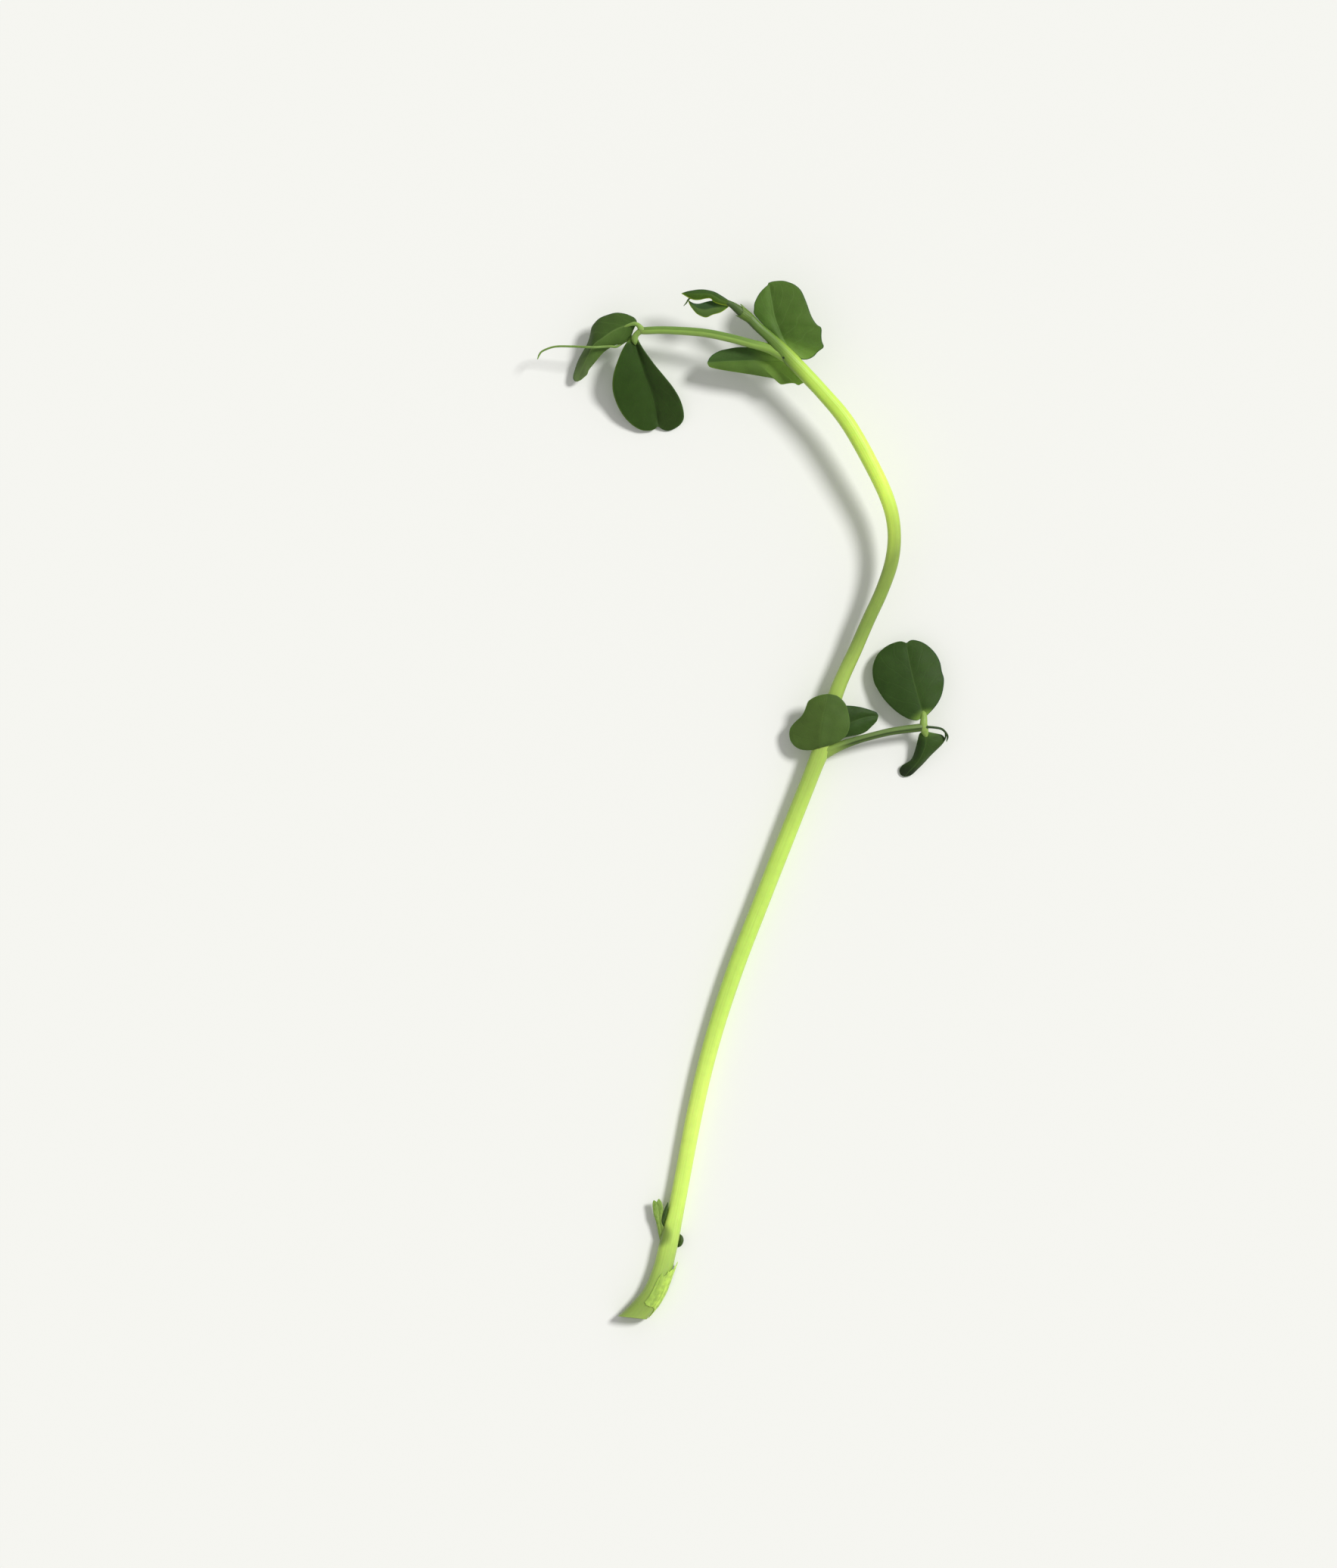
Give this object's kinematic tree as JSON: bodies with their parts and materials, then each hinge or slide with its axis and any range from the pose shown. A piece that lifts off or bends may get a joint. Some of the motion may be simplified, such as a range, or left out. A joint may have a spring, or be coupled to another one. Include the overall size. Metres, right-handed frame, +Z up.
{
  "type": "cut pea shoot",
  "caption": "Fresh cut pea shoot lying flat: a bent juicy stem with paired stipules, stalked leaflets, fine tendrils and a young folded leaf at its tip.",
  "frame": {"origin": "on the surface it rests on, under the middle of its footprint", "axes": "+Z up, +Y along the length from the cut end towards the tip, +X towards the side that the middle leaf points to"},
  "size_m": [0.0597, 0.1502, 0.0096],
  "materials": {
    "stem": "juicy pale lime-green plant skin, satin",
    "scale": "thin yellow-green scale leaf, satin",
    "stalk": "green leaf stalk, satin",
    "stipule": "soft mid-green leaf with a waxy bloom",
    "leaflet": "soft dark green leaf with a waxy bloom",
    "bud": "young folded leaf, green with a lighter rim"
  },
  "bodies": {
    "root": {"stem": "stem", "torn_scale_leaf": "scale", "scale_leaf": "scale", "axil_bud": "bud", "opposite_bud": "bud", "middle_leaf_stalk": "stalk", "middle_stipule_front": "stipule", "middle_stipule_back": "leaflet", "middle_leaflet_round": "leaflet", "middle_leaflet_folded": "leaflet", "top_leaf_stalk": "stalk", "top_stipule_right": "stipule", "top_stipule_left": "stipule", "top_leaflet_heart": "leaflet", "top_leaflet_folded": "leaflet", "bud_stipule": "bud", "bud_leaflet_upper": "bud", "bud_leaflet_lower": "bud"}
  },
  "joints": []
}
